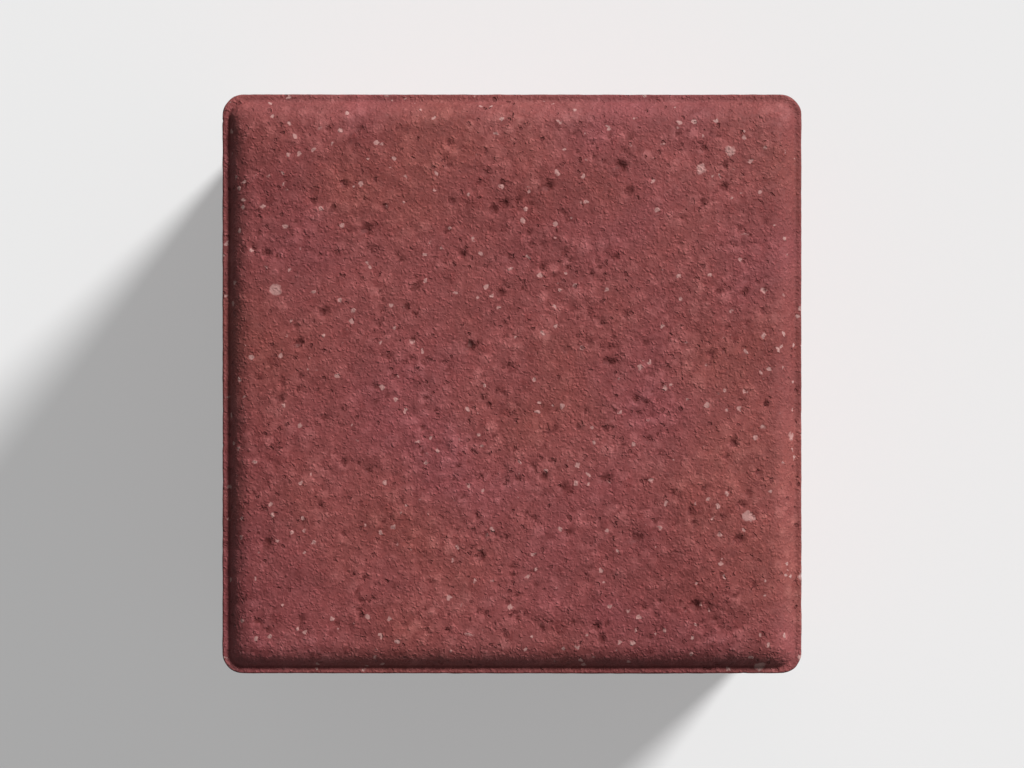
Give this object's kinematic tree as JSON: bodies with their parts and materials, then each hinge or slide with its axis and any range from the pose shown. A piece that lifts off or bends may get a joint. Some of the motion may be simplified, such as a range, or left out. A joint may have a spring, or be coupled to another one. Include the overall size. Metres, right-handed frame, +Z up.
{
  "type": "concrete paving stone",
  "caption": "Square pressed concrete paving stone with a rolled top edge above a narrow ledge, slightly crowned face and spacer ribs on its sides.",
  "frame": {"origin": "centre of the base, on the ground that the stone is laid on", "axes": "+Z up through the walked-on face; X and Y square to the sides"},
  "size_m": [0.1, 0.1, 0.06],
  "materials": {
    "red_concrete": "fine-grained, matt, through-coloured red-brown with a few dark pits"
  },
  "bodies": {
    "root": {"paving_stone": "red_concrete"}
  },
  "joints": []
}
